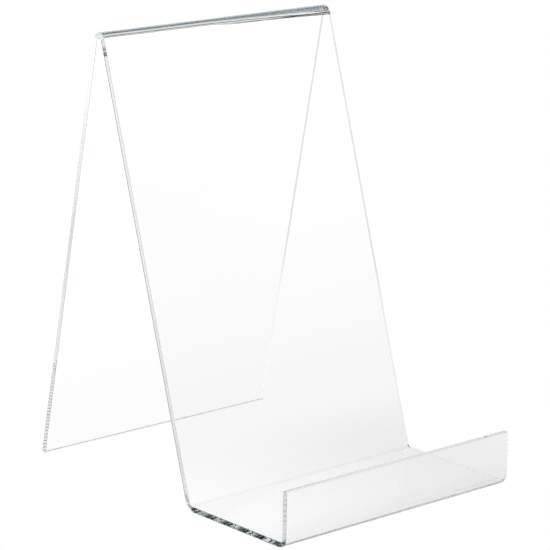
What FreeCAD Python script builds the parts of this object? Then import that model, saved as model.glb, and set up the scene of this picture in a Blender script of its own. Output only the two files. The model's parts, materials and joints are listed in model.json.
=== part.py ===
import FreeCAD, Part
import math
import os

import Sketcher
from FreeCAD import Placement, Rotation, Vector

# Book display stand: one clear acrylic sheet of constant width, heat-bent along three lines.
# Seen from its left end, front to back: lip, lip bend, shelf, heel bend, front panel, ridge bend,
# back leg. Each flat stretch and each bend is a body of its own, cut square across the sheet where
# the bend begins, so neighbouring bodies meet face to face.
#
# +X runs along the bends, the front faces -Y and +Z is up. The origin lies on the table, in the
# middle of the footprint.

# Driving dimensions, in millimetres and degrees. A heat bend thins the sheet, so each outer radius
# is more than its inner radius plus the sheet.
SIZES = {
    "width": 152.0,               # length of the bend lines
    "sheet": 3.0,                 # thickness of the sheet
    "overall_height": 231.0,      # table to the top of the ridge
    "shelf_depth": 74.0,          # front of the lip to the heel's sharp outer corner
    "lip_height": 29.0,           # table to the top of the lip
    "panel_lean": 17.0,           # front panel, backwards from upright
    "leg_lean": 11.25,            # back leg, forwards from upright
    "ridge_outer_radius": 4.5,
    "ridge_inner_radius": 1.3,
    "heel_outer_radius": 7.0,
    "heel_inner_radius": 1.5,
    "lip_outer_radius": 6.0,
    "lip_inner_radius": 1.5,
    "eased_edge": 0.3,            # rounding that polishing leaves along the free edges
}
AREA_TOLERANCE = 0.01             # mm2, to know a cut face by its area
SMOOTH_ANGLE = 0.1                # radians; faces that meet at less run on smoothly

# Inside angles of the bends, in degrees.
LIP_ANGLE = "90"
HEEL_ANGLE = "(90 + Sizes.panel_lean)"
RIDGE_ANGLE = "(Sizes.panel_lean + Sizes.leg_lean)"

# Distance from a bend's sharp outer corner to where the bend begins.
LIP_REACH = f"(Sizes.lip_outer_radius / tan({LIP_ANGLE} / 2))"
HEEL_REACH = f"(Sizes.heel_outer_radius / tan({HEEL_ANGLE} / 2))"
RIDGE_REACH = f"(Sizes.ridge_outer_radius / tan({RIDGE_ANGLE} / 2))"

# Height of the ridge's sharp outer corner, which is above its rounded top.
RIDGE_Z = (
    "(Sizes.overall_height - Sizes.ridge_outer_radius"
    " + Sizes.ridge_outer_radius * cos((Sizes.panel_lean - Sizes.leg_lean) / 2)"
    f" / sin({RIDGE_ANGLE} / 2))"
)

# Lengths of sheet from the heel's corner, and from the foot, up to the ridge's corner.
PANEL_RUN = f"(({RIDGE_Z} - Sizes.sheet * sin(Sizes.panel_lean)) / cos(Sizes.panel_lean))"
LEG_RUN = f"(({RIDGE_Z} - Sizes.sheet * sin(Sizes.leg_lean)) / cos(Sizes.leg_lean))"

# Along Y: from the heel's corner back to the ridge's, the whole footprint, and the corners' places.
SETBACK = f"({PANEL_RUN} * sin(Sizes.panel_lean) - Sizes.sheet * cos(Sizes.panel_lean))"
DEPTH = f"(Sizes.shelf_depth + {SETBACK} + {LEG_RUN} * sin(Sizes.leg_lean))"
LIP_Y = f"(-{DEPTH} / 2)"
HEEL_Y = f"({LIP_Y} + Sizes.shelf_depth)"
RIDGE_Y = f"({HEEL_Y} + {SETBACK})"


def make_sizes(document):
    sizes = document.addObject("Spreadsheet::Sheet", "Sizes")
    for row, (name, value) in enumerate(SIZES.items(), start=1):
        sizes.set(f"A{row}", name)
        sizes.set(f"B{row}", str(value))
        sizes.setAlias(f"B{row}", name)
    document.recompute()
    return sizes


def new_body(document, name, place_y, place_z, turn):
    """A body at the given place, turned about X by the given degrees."""
    body = document.addObject("PartDesign::Body", name)
    body.Label = name
    body.Placement = Placement(Vector(), Rotation(Vector(1, 0, 0), 1))
    body.setExpression(".Placement.Base.y", place_y)
    body.setExpression(".Placement.Base.z", place_z)
    body.setExpression(".Placement.Rotation.Angle", turn)
    return body


def new_sketch(body, plane_role):
    sketch = body.newObject("Sketcher::SketchObject", f"{body.Name}_outline")
    plane = next(item for item in body.Origin.OriginFeatures if item.Role == plane_role)
    sketch.AttachmentSupport = [(plane, "")]
    sketch.MapMode = "FlatFace"
    return sketch


def constrain(sketch, *details):
    return sketch.addConstraint(Sketcher.Constraint(*details))


def add_dimension(sketch, name, expression, *details):
    index = constrain(sketch, *details)
    sketch.renameConstraint(index, name)
    sketch.setExpression(f"Constraints.{name}", expression)


def is_sharp(shape, edge):
    """True where the two faces beside an edge meet at an angle."""
    middle = edge.valueAt((edge.FirstParameter + edge.LastParameter) / 2)
    one, other = (
        face.normalAt(*face.Surface.parameter(middle))
        for face in shape.ancestorsOfType(edge, Part.Face)
    )
    return one.getAngle(other) > SMOOTH_ANGLE


def cut_faces(shape, sizes):
    """The faces where the sheet is cut square across, lowest first in the body's own frame."""
    area = float(sizes.width) * float(sizes.sheet)
    faces = [
        face
        for face in shape.Faces
        if isinstance(face.Surface, Part.Plane) and abs(face.Area - area) < AREA_TOLERANCE
    ]
    return sorted(faces, key=lambda face: face.CenterOfMass.z)


def ease_edges(body, pad, meeting_faces):
    """Round the sharp free edges. Those of the faces that meet a neighbour stay sharp."""
    meeting = [edge for face in meeting_faces for edge in face.Edges]
    free = [
        f"Edge{number}"
        for number, edge in enumerate(pad.Shape.Edges, start=1)
        if is_sharp(pad.Shape, edge) and not any(edge.isSame(other) for other in meeting)
    ]
    fillet = body.newObject("PartDesign::Fillet", f"{body.Name}_eased")
    fillet.Base = (pad, free)
    fillet.setExpression("Radius", "Sizes.eased_edge")


def make_flat(document, sizes, name, run, place_y, place_z, turn, meets=("start", "finish")):
    """A flat stretch of sheet: its run is along local Z and its thickness along local +Y."""
    body = new_body(document, name, place_y, place_z, turn)
    sketch = new_sketch(body, "XZ_Plane")
    width = float(sizes.width)
    length = float(body.evalExpression(run))
    corners = [
        Vector(-width / 2, 0, 0),
        Vector(width / 2, 0, 0),
        Vector(width / 2, length, 0),
        Vector(-width / 2, length, 0),
    ]
    for corner, next_corner in zip(corners, corners[1:] + corners[:1]):
        sketch.addGeometry(Part.LineSegment(corner, next_corner), False)
    start_side, right_side, finish_side, left_side = range(4)
    for side in range(4):
        constrain(sketch, "Coincident", side, 2, (side + 1) % 4, 1)
    constrain(sketch, "PointOnObject", start_side, 1, -1)
    constrain(sketch, "Symmetric", start_side, 1, start_side, 2, -2)
    constrain(sketch, "Vertical", right_side)
    constrain(sketch, "Vertical", left_side)
    constrain(sketch, "Horizontal", finish_side)
    add_dimension(sketch, "width", "Sizes.width", "DistanceX", start_side, 1, start_side, 2, width)
    add_dimension(sketch, "run", run, "DistanceY", right_side, 1, right_side, 2, length)

    pad = body.newObject("PartDesign::Pad", f"{name}_pad")
    pad.Profile = sketch
    pad.setExpression("Length", "Sizes.sheet")
    pad.Reversed = True
    document.recompute()
    start_face, finish_face = cut_faces(pad.Shape, sizes)
    ends = {"start": start_face, "finish": finish_face}
    ease_edges(body, pad, [ends[end] for end in meets])
    return body


def make_bend(document, sizes, name, angle, place_y, place_z, turn):
    """A bend: its sharp outer corner is at the local origin and it opens about local +Z."""
    body = new_body(document, name, place_y, place_z, turn)
    sketch = new_sketch(body, "YZ_Plane")
    outer_name = name.replace("bend", "outer_radius")
    inner_name = name.replace("bend", "inner_radius")
    outer_radius = float(getattr(sizes, outer_name))
    inner_radius = float(getattr(sizes, inner_name))
    thickness = float(sizes.sheet)
    half = math.radians(float(body.evalExpression(angle))) / 2

    along = Vector(math.sin(half), math.cos(half), 0)
    across = Vector(-math.cos(half), math.sin(half), 0)
    outer_end = along * (outer_radius / math.tan(half))
    cut_end = outer_end + across * thickness
    inner_end = Vector(0, thickness / math.sin(half), 0) + along * (inner_radius / math.tan(half))
    outer_low = Vector(0, outer_radius / math.sin(half) - outer_radius, 0)
    inner_low = Vector(0, (thickness + inner_radius) / math.sin(half) - inner_radius, 0)

    def on_side(side, point):
        return Vector(side * point.x, point.y, 0)

    outer_arc = sketch.addGeometry(Part.Arc(on_side(-1, outer_end), outer_low, outer_end), False)
    inner_arc = sketch.addGeometry(Part.Arc(on_side(-1, inner_end), inner_low, inner_end), False)
    cuts = []
    guides = []
    for side, arc_end in ((1, 2), (-1, 1)):
        corner, cut_corner, arc_corner = (
            on_side(side, point) for point in (outer_end, cut_end, inner_end)
        )
        guide = sketch.addGeometry(Part.LineSegment(Vector(), corner), True)
        cut = sketch.addGeometry(Part.LineSegment(corner, cut_corner), False)
        inside = sketch.addGeometry(Part.LineSegment(cut_corner, arc_corner), False)
        constrain(sketch, "Coincident", guide, 1, -1, 1)
        constrain(sketch, "Tangent", guide, 2, outer_arc, arc_end)
        constrain(sketch, "Coincident", cut, 1, guide, 2)
        constrain(sketch, "Perpendicular", cut, guide)
        constrain(sketch, "Coincident", inside, 1, cut, 2)
        constrain(sketch, "Parallel", inside, guide)
        constrain(sketch, "Tangent", inside, 2, inner_arc, arc_end)
        cuts.append(cut)
        guides.append(guide)
    constrain(sketch, "PointOnObject", outer_arc, 3, -2)
    constrain(sketch, "Equal", *cuts)
    add_dimension(sketch, "sheet", "Sizes.sheet", "Distance", cuts[0], thickness)
    add_dimension(sketch, "outer", f"Sizes.{outer_name}", "Radius", outer_arc, outer_radius)
    add_dimension(sketch, "inner", f"Sizes.{inner_name}", "Radius", inner_arc, inner_radius)
    add_dimension(sketch, "opening", f"{angle} * 1 deg",
                  "Angle", guides[0], 1, guides[1], 1, 2 * half)

    pad = body.newObject("PartDesign::Pad", f"{name}_pad")
    pad.Profile = sketch
    pad.SideType = "Symmetric"
    pad.setExpression("Length", "Sizes.width")
    document.recompute()
    ease_edges(body, pad, cut_faces(pad.Shape, sizes))
    return body


def make_stand(document, sizes):
    upper_y = f"({HEEL_Y} + ({PANEL_RUN} - {RIDGE_REACH}) * sin(Sizes.panel_lean))"
    upper_z = f"(({PANEL_RUN} - {RIDGE_REACH}) * cos(Sizes.panel_lean))"
    foot_y = f"({DEPTH} / 2 - Sizes.sheet * cos(Sizes.leg_lean))"
    return [
        make_flat(document, sizes, "lip", f"(Sizes.lip_height - {LIP_REACH})",
                  LIP_Y, LIP_REACH, "0", meets=("start",)),
        make_bend(document, sizes, "lip_bend", LIP_ANGLE, LIP_Y, "0", "-45"),
        make_flat(document, sizes, "shelf", f"(Sizes.shelf_depth - {LIP_REACH} - {HEEL_REACH})",
                  f"({HEEL_Y} - {HEEL_REACH})", "0", "90"),
        make_bend(document, sizes, "heel_bend", HEEL_ANGLE,
                  HEEL_Y, "0", "45 - Sizes.panel_lean / 2"),
        make_flat(document, sizes, "front_panel", f"({PANEL_RUN} - {HEEL_REACH} - {RIDGE_REACH})",
                  upper_y, upper_z, "180 - Sizes.panel_lean"),
        make_bend(document, sizes, "ridge_bend", RIDGE_ANGLE,
                  RIDGE_Y, RIDGE_Z, "180 + (Sizes.leg_lean - Sizes.panel_lean) / 2"),
        make_flat(document, sizes, "back_leg", f"({LEG_RUN} - {RIDGE_REACH})",
                  foot_y, "0", "Sizes.leg_lean", meets=("finish",)),
    ]


def check(document, bodies):
    for item in document.Objects:
        if "Invalid" in item.State or "Error" in item.State:
            raise RuntimeError(f"{item.Name} did not recompute: {item.State}")
    for body in bodies:
        if body.Shape.isNull() or not body.Shape.isValid() or len(body.Shape.Solids) != 1:
            raise RuntimeError(f"{body.Label} is not one valid solid")


def write(bodies):
    os.makedirs("parts", exist_ok=True)
    for body in bodies:
        body.Shape.exportStep(f"parts/{body.Label}.step")
        print(body.Label, round(body.Shape.Volume, 1), "mm3", body.Shape.BoundBox)


document = FreeCAD.newDocument("book_display_stand")
sizes = make_sizes(document)
bodies = make_stand(document, sizes)
document.recompute()
check(document, bodies)
write(bodies)
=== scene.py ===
import json
import math

import bmesh
import bpy
from mathutils import Matrix, Vector


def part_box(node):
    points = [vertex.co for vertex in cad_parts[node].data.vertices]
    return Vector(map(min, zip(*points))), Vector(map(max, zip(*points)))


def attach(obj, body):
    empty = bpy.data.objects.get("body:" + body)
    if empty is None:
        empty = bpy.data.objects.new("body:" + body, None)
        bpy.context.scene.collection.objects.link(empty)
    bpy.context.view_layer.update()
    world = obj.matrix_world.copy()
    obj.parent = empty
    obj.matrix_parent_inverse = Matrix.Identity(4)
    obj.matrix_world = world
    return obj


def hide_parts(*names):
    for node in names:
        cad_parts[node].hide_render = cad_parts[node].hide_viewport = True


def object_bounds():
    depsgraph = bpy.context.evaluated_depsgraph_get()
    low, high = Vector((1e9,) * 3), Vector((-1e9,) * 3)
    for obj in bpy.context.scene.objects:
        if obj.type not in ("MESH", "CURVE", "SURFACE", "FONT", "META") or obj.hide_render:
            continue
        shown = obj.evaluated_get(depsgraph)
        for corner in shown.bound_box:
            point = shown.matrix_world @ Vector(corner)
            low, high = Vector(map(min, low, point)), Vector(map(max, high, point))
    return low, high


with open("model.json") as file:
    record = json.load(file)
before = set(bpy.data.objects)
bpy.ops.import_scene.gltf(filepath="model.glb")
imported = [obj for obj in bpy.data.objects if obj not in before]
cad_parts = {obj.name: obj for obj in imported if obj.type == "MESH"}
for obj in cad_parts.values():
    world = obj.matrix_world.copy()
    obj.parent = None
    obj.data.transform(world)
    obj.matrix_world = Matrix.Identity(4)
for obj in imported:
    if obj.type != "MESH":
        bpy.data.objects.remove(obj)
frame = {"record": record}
cad_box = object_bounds()

# Book display stand: one clear acrylic sheet, heat-bent along three lines that run along X.
# The sheet's profile lies in the (y, z) plane. It is followed from the foot of the back leg, over
# the ridge, down the front panel, along the shelf and up the lip. Its first face is the one that is
# outermost at the ridge, and its second face is the other one. Lengths are in metres.
MM = 0.001

# The tight sides of the bends, and the rounding that polishing leaves along the free edges.
TIGHT_RADII = {"ridge": 1.44 * MM, "heel": 1.5 * MM, "lip": 1.5 * MM}
EASED_EDGE = 0.3 * MM

# How finely the mesh follows the sheet.
EASED_STEPS = 5
BEND_STEPS = 28
CAP_LAYERS = 4
FLAT_SPACING = 12 * MM
RING_SPACING = 2.5 * MM
WELD_DISTANCE = 1e-7
LEAN_STEPS = 30

# The ridge was folded a little less tightly towards its right end, and no fold is quite even.
RIDGE_LOOSENS_BY = 0.42 * MM
RADIUS_RIPPLE = 0.04 * MM

# Folding stretches the wide side of a bend, so it draws in a little at both ends of the bend line.
DRAW_IN = 0.35 * MM
DRAW_IN_REACH = 5 * MM

# A bend line is a little uneven, because the sheet is soft when it is folded. The waves start at
# another place for each Y, by this many times Y, so the bends differ.
WAVE_DEPTH = 0.04 * MM
WAVE_LENGTHS = (61 * MM, 27 * MM, 11 * MM)
WAVE_SHIFT = 3

# The foot's cut edge lies within this distance of the back of the CAD leg.
FOOT_DEPTH = 4 * MM

WHITE = (1.0, 1.0, 1.0, 1.0)
ACRYLIC_IOR = 1.49
ACRYLIC_TINT = (0.0, 0.18, 0.27, 1.0)
ACRYLIC_DENSITY = 1.25
# Light travels the length of the sheet by reflecting off its faces more than a hundred times.
MOST_BOUNCES = 400

# Scratches are long in one direction and fine in the others. Noise scales are per metre.
SCRATCH_TURN = (0.4, 0.7, 0.3)
SCRATCH_SCALE = (30.0, 1600.0, 1600.0)
SCRATCH_DETAIL = 3.0
SCRATCH_FROM = 0.70
SCRATCH_FULL = 0.76
SCRATCH_ROUGHNESS = 0.02
EDGE_HAZE_SCALE = 260.0
EDGE_ROUGHNESS = 0.006
RIPPLE_SCALE = 600.0
RIPPLE_DEPTH = 0.0012 * MM

# The camera sees the floor, and the acrylic refracts the table's light, just above the floor.
PLANE_SIZE = 8.0
FLOOR_HEIGHT = -0.2 * MM
FLOOR_GLOW = 1.0
TABLE_HEIGHT = -0.1 * MM

# The table's glow along Y, in shares of the way from TABLE_FRONT to TABLE_BACK.
TABLE_FRONT = -0.5
TABLE_BACK = 0.7
TABLE_GLOW = (
    (0.0, 0.70),
    (0.33, 0.80),
    (0.36, 0.93),
    (0.42, 0.95),
    (0.47, 0.97),
    (0.53, 0.975),
    (0.67, 1.035),
    (1.0, 1.08),
)

# The table is dark beside the shelf's left end. The shade fades out ahead of the lip, and behind
# the heel.
SHADE_REACH = 20 * MM
SHADE_FRONT_Y = -105 * MM
SHADE_BACK_Y = 20 * MM
HEEL_Y = -20 * MM

# Beyond the left end, the table's light fades to this share.
LEFT_SIDE_GLOW = 0.74
LEFT_FADE = 120 * MM

# Under the shelf, the table's light falls a little from its left end to its right end.
EXTRA_AT_LEFT = 0.09
EXTRA_AT_RIGHT = -0.08
EXTRA_BACK_Y = 80 * MM

# A pool of brighter light lies on the table beyond its right front corner.
POOL_CENTRE = (0.34, -0.22, 0.0)
POOL_RADIUS = 0.30
POOL_GLOW = 0.9

# The room's glow by the height of a direction, from level (0) to straight up (1). All round, a dark
# gap lies below a dull blue ceiling. In front and at the sides, the wall is dim between its bright
# foot and its bright top. Behind the stand, the wall is bright except for a dark band near its foot,
# and it fades through dull teal into the gap.
CEILING = (0.36, 0.50, 0.60, 1.0)
GAP = 0.004
DARK_BAND = 0.02
FRONT_WALL = (0.50, 0.46, 0.44, 1.0)
PALE_TEAL = (0.42, 0.49, 0.47, 1.0)
DULL_TEAL = (0.36, 0.44, 0.44, 1.0)
DEEP_TEAL = (0.08, 0.15, 0.15, 1.0)
BLUE_BLACK = (0.004, 0.01, 0.02, 1.0)
ROOM_GLOW = (
    (0.0, 0.80),
    (0.10, FRONT_WALL),
    (0.30, FRONT_WALL),
    (0.56, 0.70),
    (0.61, GAP),
    (0.80, GAP),
    (0.88, CEILING),
    (1.0, CEILING),
)
BACK_GLOW = (
    (0.0, 0.80),
    (0.10, 0.80),
    (0.12, DARK_BAND),
    (0.19, DARK_BAND),
    (0.22, 0.78),
    (0.36, 0.82),
    (0.45, 0.98),
    (0.585, 0.98),
    (0.63, PALE_TEAL),
    (0.67, DULL_TEAL),
    (0.70, DEEP_TEAL),
    (0.73, BLUE_BLACK),
    (0.80, GAP),
    (0.88, CEILING),
    (1.0, CEILING),
)

# A direction whose Y part is under BACK_BEGINS sees ROOM_GLOW, and over BACK_IS_FULL, BACK_GLOW.
BACK_BEGINS = 0.10
BACK_IS_FULL = 0.20

# A Mix node's sockets share names across types, so its colour sockets are picked by number.
MIX_FIRST = 6
MIX_SECOND = 7
MIX_RESULT = 2

# Each softbox: its centre, what it faces, its width and height, and its radiance.
KEY_LIGHT = ((-1.1, -0.22, 0.85), (0, -0.22, 0.85), (1.95, 1.0), 1.4)
FILL_LIGHT = ((1.02, -0.77, 0.96), (0, 0, 0.1), (0.4, 0.4), 1.2)

# The camera aims a little off the centre of the CAD box. Its lens and sensor are in millimetres.
CAMERA_AZIMUTH = math.radians(-41.694)
CAMERA_ELEVATION = math.radians(14.513)
CAMERA_ROLL = math.radians(0.848)
CAMERA_DISTANCE = 1.4079
CAMERA_LENS = 180.09
CAMERA_SENSOR = 36.0
CAMERA_NEAR = 0.01
CAMERA_FAR = 100
AIM_OFFSET = Vector((-0.00133, -0.00246, -0.01052))


def direction(angle):
    """Unit vector in the profile's plane, at an angle from +Y towards +Z."""
    return Vector((math.cos(angle), math.sin(angle)))


def turned(vector, angle):
    """The vector, turned in the profile's plane from +Y towards +Z."""
    return Matrix.Rotation(angle, 2) @ vector


def eased_loss(lean):
    """How much the eased edge takes off the reach of a square corner that leans."""
    return EASED_EDGE * (math.cos(lean) + math.sin(lean) - 1)


def leg_lean(low, high, thickness):
    """How far the back leg leans from upright, from the box that it fills. Each step comes closer."""
    lean = 0.0
    for _ in range(LEAN_STEPS):
        foot_y = high.y + eased_loss(lean) - thickness * math.cos(lean)
        lean = math.atan2(foot_y - low.y, high.z - thickness * math.sin(lean))
    return lean


class Run:
    """A flat stretch of sheet. start and finish are on its first face, whose outward normal is out."""

    def __init__(self, start, finish, out):
        self.start = start
        self.finish = finish
        self.out = out
        self.along = (finish - start).normalized()


def read_runs():
    """The sheet's thickness and its four flat stretches, from the boxes of the CAD nodes."""
    lip_low, lip_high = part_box("lip")
    shelf_low, shelf_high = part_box("shelf")
    panel_low, panel_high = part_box("front_panel")
    leg_low, leg_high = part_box("back_leg")
    thickness = lip_high.y - lip_low.y
    mounts = {mount["name"]: mount for mount in frame["record"]["mounts"]}
    _, front_y, front_z = mounts["panel_front"]["axis"]
    panel_out = Vector((front_y, front_z)).normalized()
    leg_out = direction(leg_lean(leg_low, leg_high, thickness))
    foot_y = leg_high.y + eased_loss(leg_out.angle(direction(0)))
    return thickness, [
        Run(
            Vector((foot_y, thickness * leg_out.y)),
            Vector((leg_low.y + thickness * leg_out.x, leg_high.z)),
            leg_out,
        ),
        Run(
            Vector((panel_high.y + thickness * panel_out.x, panel_high.z)),
            Vector((panel_low.y, panel_low.z + thickness * panel_out.y)),
            panel_out,
        ),
        Run(
            Vector((shelf_high.y, shelf_high.z)),
            Vector((shelf_low.y, shelf_high.z)),
            direction(math.pi / 2),
        ),
        Run(
            Vector((lip_high.y, lip_low.z)),
            Vector((lip_high.y, lip_high.z)),
            direction(0),
        ),
    ]


class Station:
    """A cut across the sheet: on each face a point, an outward normal and a share of drawing in."""

    def __init__(self, points, normals, draw_in=(0.0, 0.0), wave=0.0):
        self.points = points
        self.normals = normals
        self.draw_in = draw_in
        self.wave = wave


def flat_stations(run, thickness, starts_free, finishes_free):
    """Stations of a flat stretch, with eased edges where it has a free end."""
    length = (run.finish - run.start).length
    steps = max(1, round(length / FLAT_SPACING))
    first = EASED_EDGE if starts_free else 0.0
    last = length - EASED_EDGE if finishes_free else length
    stations = []
    for step in range(steps + 1):
        point = run.start + run.along * (first + (last - first) * step / steps)
        stations.append(Station((point, point - run.out * thickness), (run.out, -run.out)))
    if starts_free:
        stations = eased_end(stations[0], -run.along)[::-1] + stations[1:]
    if finishes_free:
        stations = stations[:-1] + eased_end(stations[-1], run.along)
    return stations


def eased_end(station, away):
    """Stations round the two eased edges of a free end, from the given station outwards."""
    centres = [
        point - normal * EASED_EDGE for point, normal in zip(station.points, station.normals)
    ]
    stations = []
    for step in range(EASED_STEPS + 1):
        turn = math.pi / 2 * step / EASED_STEPS
        normals = [
            normal * math.cos(turn) + away * math.sin(turn) for normal in station.normals
        ]
        points = [
            centre + normal * EASED_EDGE for centre, normal in zip(centres, normals)
        ]
        stations.append(Station(points, normals))
    return stations


def bend_stations(before, after, thickness, tight_radius):
    """Stations of a bend: one arc on its wide side, and a tighter arc between short flats inside."""
    wide = 0 if after.along.dot(before.out) < 0 else 1
    side = 1 if wide == 0 else -1
    start_out = before.out * side
    finish_out = after.out * side
    start = before.finish - before.out * thickness * wide
    finish = after.start - after.out * thickness * wide
    radius = (finish - start).length / (finish_out - start_out).length
    centre = start - start_out * radius
    turn = start_out.angle(finish_out)
    turn_sign = math.copysign(1, start_out.cross(finish_out))
    inside_flat = (radius - thickness - tight_radius) * math.tan(turn / 2)
    tight_centre = start - start_out * (thickness + tight_radius) + before.along * inside_flat
    skipped = inside_flat / radius
    stations = []
    for step in range(BEND_STEPS + 1):
        share = step / BEND_STEPS
        wide_out = turned(start_out, turn_sign * (skipped + (turn - 2 * skipped) * share))
        tight_out = turned(start_out, turn_sign * turn * share)
        fold = math.sin(math.pi * share)
        points = [centre + wide_out * radius, tight_centre + tight_out * tight_radius]
        normals = [wide_out, -tight_out]
        draw_in = [fold, 0.0]
        if wide == 1:
            points.reverse()
            normals.reverse()
            draw_in.reverse()
        stations.append(Station(points, normals, draw_in, fold))
    return stations


def wave_at(x, y):
    """Unevenness at x of a bend line that lies at y, from 0 to 1."""
    start = WAVE_SHIFT * y
    total = sum(math.sin(2 * math.pi * (x + start) / length) for length in WAVE_LENGTHS)
    return 0.5 + 0.5 * total / len(WAVE_LENGTHS)


def tight_radii(x, half_width):
    """The tight radii of the three bends at x, as uneven as hand folding leaves them."""
    ripple = RADIUS_RIPPLE * (wave_at(x, 0.0) - 0.5)
    rightness = 0.5 + 0.5 * x / half_width
    radii = {bend: radius + ripple for bend, radius in TIGHT_RADII.items()}
    radii["ridge"] += RIDGE_LOOSENS_BY * rightness**3
    return radii


def sheet_stations(runs, thickness, radii):
    """All stations of the profile, from the foot to the lip's top."""
    leg, panel, shelf, lip = runs
    return (
        flat_stations(leg, thickness, True, False)
        + bend_stations(leg, panel, thickness, radii["ridge"])
        + flat_stations(panel, thickness, False, False)
        + bend_stations(panel, shelf, thickness, radii["heel"])
        + flat_stations(shelf, thickness, False, False)
        + bend_stations(shelf, lip, thickness, radii["lip"])
        + flat_stations(lip, thickness, False, True)
    )


def ring_places(half_width):
    """Places along X from left to right, each with how far the outline is drawn in there."""
    eased = []
    for step in range(EASED_STEPS + 1):
        turn = math.pi / 2 * (1 - step / EASED_STEPS)
        x = EASED_EDGE * math.sin(turn) - EASED_EDGE + half_width
        eased.append((x, EASED_EDGE * (1 - math.cos(turn))))
    inner = half_width - EASED_EDGE
    count = round(2 * inner / RING_SPACING)
    middle = [(-inner + 2 * inner * step / count, 0.0) for step in range(1, count)]
    return [(-x, inset) for x, inset in eased] + middle + eased[::-1]


def draw_in_at(x, half_width):
    """Shift along X that drawing in gives at x: all of it at the ends, none away from them."""
    share = max(0.0, 1 - (half_width - abs(x)) / DRAW_IN_REACH)
    return -math.copysign(DRAW_IN * share * share * (3 - 2 * share), x)


def vertex_place(station, side, x, inset, half_width):
    """Where the sheet's surface is at a station, on one of its faces."""
    inset += WAVE_DEPTH * station.wave * wave_at(x, station.points[side].x)
    point = station.points[side] - station.normals[side] * inset
    return Vector((x + station.draw_in[side] * draw_in_at(x, half_width), point.x, point.y))


def add_strip(mesh, row, next_row, flip):
    """Join two rows of vertices with a strip of faces."""
    for index in range(len(row) - 1):
        corners = [row[index], row[index + 1], next_row[index + 1], next_row[index]]
        mesh.faces.new(corners[::-1] if flip else corners)


def add_cap(mesh, first_row, second_row, flip):
    """Close a cut edge of the sheet with faces between two rows of vertices, in layers."""
    rows = [first_row]
    for layer in range(1, CAP_LAYERS):
        share = layer / CAP_LAYERS
        rows.append(
            [mesh.verts.new(a.co.lerp(b.co, share)) for a, b in zip(first_row, second_row)]
        )
    rows.append(second_row)
    for row, next_row in zip(rows, rows[1:]):
        add_strip(mesh, row, next_row, flip)


def mark_cut_edges(mesh, half_width):
    """Set cut_edge to 1 on the faces that the saw cut: both ends, and the two free edges."""
    cut_edge = mesh.faces.layers.float.new("cut_edge")
    lip_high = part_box("lip")[1]
    foot_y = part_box("back_leg")[1].y - FOOT_DEPTH
    for face in mesh.faces:
        middle = face.calc_center_median()
        at_end = abs(middle.x) > half_width - EASED_EDGE
        level_with_top = lip_high.z - EASED_EDGE < middle.z < lip_high.z + EASED_EDGE
        at_lip_top = level_with_top and middle.y < lip_high.y + EASED_EDGE
        at_foot = middle.z < EASED_EDGE and middle.y > foot_y
        face[cut_edge] = 1.0 if at_end or at_lip_top or at_foot else 0.0


def sheet_mesh():
    """The sheet as one closed mesh: both faces, both ends and both free edges."""
    thickness, runs = read_runs()
    half_width = cad_box[1].x
    mesh = bmesh.new()
    faces = ([], [])
    for x, inset in ring_places(half_width):
        stations = sheet_stations(runs, thickness, tight_radii(x, half_width))
        for side in (0, 1):
            places = [vertex_place(station, side, x, inset, half_width) for station in stations]
            faces[side].append([mesh.verts.new(place) for place in places])
    for side in (0, 1):
        for row, next_row in zip(faces[side], faces[side][1:]):
            add_strip(mesh, row, next_row, side == 1)
    for end in (0, -1):
        add_cap(mesh, [row[end] for row in faces[0]], [row[end] for row in faces[1]], end == 0)
    add_cap(mesh, faces[0][0], faces[1][0], True)
    add_cap(mesh, faces[0][-1], faces[1][-1], False)
    bmesh.ops.remove_doubles(mesh, verts=mesh.verts, dist=WELD_DISTANCE)
    bmesh.ops.recalc_face_normals(mesh, faces=mesh.faces)
    mark_cut_edges(mesh, half_width)
    for face in mesh.faces:
        face.smooth = True
    return mesh


def add_object(name, data):
    """A new object in the scene."""
    thing = bpy.data.objects.new(name, data)
    bpy.context.scene.collection.objects.link(thing)
    return thing


def add_mesh_object(name, mesh):
    """A new object from a finished bmesh, which is freed."""
    data = bpy.data.meshes.new(name)
    mesh.to_mesh(data)
    mesh.free()
    return add_object(name, data)


def build_sheet():
    """The acrylic sheet, shaded so that its flats stay even beside its bends."""
    sheet = add_mesh_object("acrylic_sheet", sheet_mesh())
    weights = sheet.modifiers.new("even_flats", "WEIGHTED_NORMAL")
    weights.keep_sharp = False
    return sheet


def build_plane(name, height):
    """A large flat square, a little below the foot of the stand."""
    half = PLANE_SIZE / 2
    corners = [(-half, -half), (half, -half), (half, half), (-half, half)]
    mesh = bmesh.new()
    mesh.faces.new([mesh.verts.new((x, y, height)) for x, y in corners])
    return add_mesh_object(name, mesh)


def new_material(name):
    """An empty material and its node tree."""
    material = bpy.data.materials.new(name)
    material.use_nodes = True
    material.node_tree.nodes.clear()
    return material, material.node_tree


def add_node(tree, kind, inputs, **settings):
    """A new node. An input is linked if it comes from another node, and set if it is a value."""
    node = tree.nodes.new(kind)
    for name, value in settings.items():
        setattr(node, name, value)
    for name, value in inputs.items():
        if isinstance(value, bpy.types.NodeSocket):
            tree.links.new(value, node.inputs[name])
        else:
            node.inputs[name].default_value = value
    return node


def combined(tree, operation, *sources):
    """Apply a two-input operation to all the sources, from the left. A source may be a number."""
    result = sources[0]
    for source in sources[1:]:
        step = add_node(tree, "ShaderNodeMath", {0: result, 1: source}, operation=operation)
        result = step.outputs["Value"]
    return result


def ranged(tree, source, start, end, low=0.0):
    """Rise smoothly from low to 1 while source goes from start to end."""
    inputs = {"Value": source, "From Min": start, "From Max": end, "To Min": low}
    rise = add_node(tree, "ShaderNodeMapRange", inputs, interpolation_type="SMOOTHSTEP")
    return rise.outputs["Result"]


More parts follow.
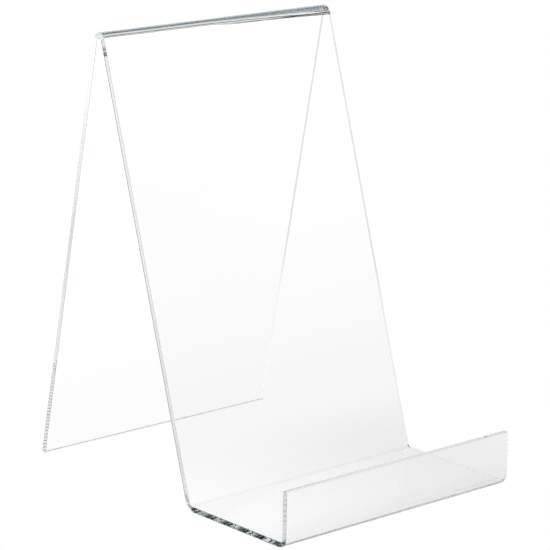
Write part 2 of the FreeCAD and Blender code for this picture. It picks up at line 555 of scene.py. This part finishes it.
def sloped(tree, source, start, end, low=0.0, high=1.0):
    """Go evenly from low to high while source goes from start to end."""
    inputs = {"Value": source, "From Min": start, "From Max": end, "To Min": low, "To Max": high}
    return add_node(tree, "ShaderNodeMapRange", inputs).outputs["Result"]


def coloured(tree, source, stops):
    """Colour by source, from (place, brightness) or (place, colour) stops in order from 0 to 1."""
    node = add_node(tree, "ShaderNodeValToRGB", {"Fac": source})
    elements = node.color_ramp.elements
    for place, _ in stops[1:-1]:
        elements.new(place)
    for element, (_, shade) in zip(elements, stops):
        element.color = shade if isinstance(shade, tuple) else (shade, shade, shade, 1.0)
    return node.outputs["Color"]


def floor_material():
    """Plain white floor, as bright as paper under soft light."""
    material, tree = new_material("pale_floor")
    glow = add_node(tree, "ShaderNodeEmission", {"Color": WHITE, "Strength": FLOOR_GLOW})
    add_node(tree, "ShaderNodeOutputMaterial", {"Surface": glow.outputs["Emission"]})
    return material


def table_material():
    """The light that the table sends into the acrylic: less from the front, more from behind."""
    material, tree = new_material("table_light")
    position = add_node(tree, "ShaderNodeNewGeometry", {}).outputs["Position"]
    split = add_node(tree, "ShaderNodeSeparateXYZ", {"Vector": position})
    along_x = split.outputs["X"]
    along_y = split.outputs["Y"]
    reach = sloped(tree, along_y, TABLE_FRONT, TABLE_BACK)
    strength = combined(
        tree,
        "MULTIPLY",
        contact_shade(tree, along_x, along_y),
        left_side(tree, along_x),
        sideways_slope(tree, along_x, along_y),
    )
    strength = combined(tree, "ADD", strength, light_pool(tree, position))
    inputs = {"Color": coloured(tree, reach, TABLE_GLOW), "Strength": strength}
    glow = add_node(tree, "ShaderNodeEmission", inputs)
    add_node(tree, "ShaderNodeOutputMaterial", {"Surface": glow.outputs["Emission"]})
    return material


def contact_shade(tree, along_x, along_y):
    """A dark strip on the table along the shelf's left end, which light hardly gets under."""
    left_end = cad_box[0].x
    beside = ranged(tree, along_x, left_end, left_end - SHADE_REACH)
    behind = ranged(tree, along_y, HEEL_Y, SHADE_BACK_Y)
    ahead = ranged(tree, along_y, SHADE_FRONT_Y, SHADE_FRONT_Y - SHADE_REACH)
    under = combined(tree, "GREATER_THAN", along_x, left_end)
    return combined(tree, "MAXIMUM", beside, behind, ahead, under)


def left_side(tree, along_x):
    """The table's light fades towards its left side."""
    left_end = cad_box[0].x
    return ranged(tree, along_x, left_end - LEFT_FADE, left_end, LEFT_SIDE_GLOW)


def sideways_slope(tree, along_x, along_y):
    """Under the shelf, the light falls a little from the left end to the right end."""
    across = sloped(tree, along_x, cad_box[0].x, cad_box[1].x, EXTRA_AT_LEFT, EXTRA_AT_RIGHT)
    ahead = ranged(tree, along_y, EXTRA_BACK_Y, HEEL_Y)
    extra = combined(tree, "MULTIPLY", across, ahead)
    return combined(tree, "ADD", extra, 1.0)


def light_pool(tree, position):
    """A pool of brighter light on the table."""
    inputs = {0: position, 1: POOL_CENTRE}
    away = add_node(tree, "ShaderNodeVectorMath", inputs, operation="DISTANCE")
    pool = ranged(tree, away.outputs["Value"], POOL_RADIUS, 0.0)
    return combined(tree, "MULTIPLY", pool, POOL_GLOW)


def acrylic_material():
    """Clear cast acrylic, with hairline scratches on its faces and rippled, polished cut edges."""
    material, tree = new_material("clear_acrylic")
    place = add_node(tree, "ShaderNodeTexCoord", {}).outputs["Object"]
    cut_edge = add_node(tree, "ShaderNodeAttribute", {}, attribute_name="cut_edge").outputs["Fac"]
    surface = {
        "Base Color": WHITE,
        "IOR": ACRYLIC_IOR,
        "Transmission Weight": 1.0,
        "Roughness": combined(tree, "ADD", scratches(tree, place), edge_haze(tree, place, cut_edge)),
        "Normal": edge_ripple(tree, place, cut_edge),
    }
    depth = {"Color": ACRYLIC_TINT, "Density": ACRYLIC_DENSITY}
    output = {
        "Surface": add_node(tree, "ShaderNodeBsdfPrincipled", surface).outputs["BSDF"],
        "Volume": add_node(tree, "ShaderNodeVolumeAbsorption", depth).outputs["Volume"],
    }
    add_node(tree, "ShaderNodeOutputMaterial", output)
    return material


def scratches(tree, place):
    """Roughness of sparse hairline scratches, each a few centimetres long."""
    inputs = {"Vector": place, "Rotation": SCRATCH_TURN, "Scale": SCRATCH_SCALE}
    stretched = add_node(tree, "ShaderNodeMapping", inputs).outputs["Vector"]
    inputs = {"Vector": stretched, "Scale": 1.0, "Detail": SCRATCH_DETAIL}
    noise = add_node(tree, "ShaderNodeTexNoise", inputs).outputs["Fac"]
    return sloped(tree, noise, SCRATCH_FROM, SCRATCH_FULL, high=SCRATCH_ROUGHNESS)


def edge_haze(tree, place, cut_edge):
    """Roughness that polishing leaves on the cut edges, a little more in some places."""
    noise = add_node(tree, "ShaderNodeTexNoise", {"Vector": place, "Scale": EDGE_HAZE_SCALE})
    return combined(tree, "MULTIPLY", noise.outputs["Fac"], EDGE_ROUGHNESS, cut_edge)


def edge_ripple(tree, place, cut_edge):
    """Shallow ripples that a polishing flame leaves along the cut edges."""
    noise = add_node(tree, "ShaderNodeTexNoise", {"Vector": place, "Scale": RIPPLE_SCALE})
    height = combined(tree, "MULTIPLY", noise.outputs["Fac"], cut_edge)
    bump = add_node(tree, "ShaderNodeBump", {"Height": height, "Distance": RIPPLE_DEPTH})
    return bump.outputs["Normal"]


def add_camera():
    """The camera, which looks a little down at the stand from its front left."""
    data = bpy.data.cameras.new("camera")
    data.lens = CAMERA_LENS
    data.sensor_width = CAMERA_SENSOR
    data.clip_start = CAMERA_NEAR
    data.clip_end = CAMERA_FAR
    level = math.cos(CAMERA_ELEVATION)
    back_x = math.sin(CAMERA_AZIMUTH) * level
    back_y = -math.cos(CAMERA_AZIMUTH) * level
    back = Vector((back_x, back_y, math.sin(CAMERA_ELEVATION)))
    roll = Matrix.Rotation(CAMERA_ROLL, 3, "Z").to_quaternion()
    centre = (cad_box[0] + cad_box[1]) / 2
    camera = add_object("camera", data)
    camera.location = centre + AIM_OFFSET + back * CAMERA_DISTANCE
    camera.rotation_mode = "QUATERNION"
    camera.rotation_quaternion = (-back).to_track_quat("-Z", "Y") @ roll
    bpy.context.scene.camera = camera


def set_world():
    """The room, whose glow depends on height and is different behind the stand."""
    world = bpy.data.worlds.new("studio")
    bpy.context.scene.world = world
    world.use_nodes = True
    tree = world.node_tree
    toward = add_node(tree, "ShaderNodeTexCoord", {}).outputs["Generated"]
    split = add_node(tree, "ShaderNodeSeparateXYZ", {"Vector": toward})
    height = split.outputs["Z"]
    inputs = {
        "Factor": sloped(tree, split.outputs["Y"], BACK_BEGINS, BACK_IS_FULL),
        MIX_FIRST: coloured(tree, height, ROOM_GLOW),
        MIX_SECOND: coloured(tree, height, BACK_GLOW),
    }
    room = add_node(tree, "ShaderNodeMix", inputs, data_type="RGBA")
    tree.links.new(room.outputs[MIX_RESULT], tree.nodes["Background"].inputs["Color"])


def add_softbox(name, centre, target, size, radiance):
    """A rectangular area light that faces target. Its power gives the stated radiance."""
    light = bpy.data.lights.new(name, "AREA")
    light.shape = "RECTANGLE"
    light.size = size[0]
    light.size_y = size[1]
    light.energy = radiance * math.pi * size[0] * size[1]
    softbox = add_object(name, light)
    softbox.location = centre
    softbox.rotation_euler = (Vector(target) - Vector(centre)).to_track_quat("-Z", "Y").to_euler()


def set_rendering():
    """Plain colours, and enough bounces for light that travels inside the sheet."""
    scene = bpy.context.scene
    scene.view_settings.view_transform = "Standard"
    scene.cycles.max_bounces = MOST_BOUNCES
    scene.cycles.transmission_bounces = MOST_BOUNCES
    scene.cycles.glossy_bounces = MOST_BOUNCES


sheet = build_sheet()
sheet.data.materials.append(acrylic_material())
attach(sheet, "root")
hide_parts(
    "lip", "lip_bend", "shelf", "heel_bend", "front_panel", "ridge_bend", "back_leg"
)

floor = build_plane("floor", FLOOR_HEIGHT)
floor.data.materials.append(floor_material())
floor.visible_diffuse = False
floor.visible_glossy = False
floor.visible_transmission = False

table = build_plane("table_light", TABLE_HEIGHT)
table.data.materials.append(table_material())
table.visible_camera = False

add_softbox("key_light", *KEY_LIGHT)
add_softbox("fill_light", *FILL_LIGHT)
add_camera()
set_world()
set_rendering()
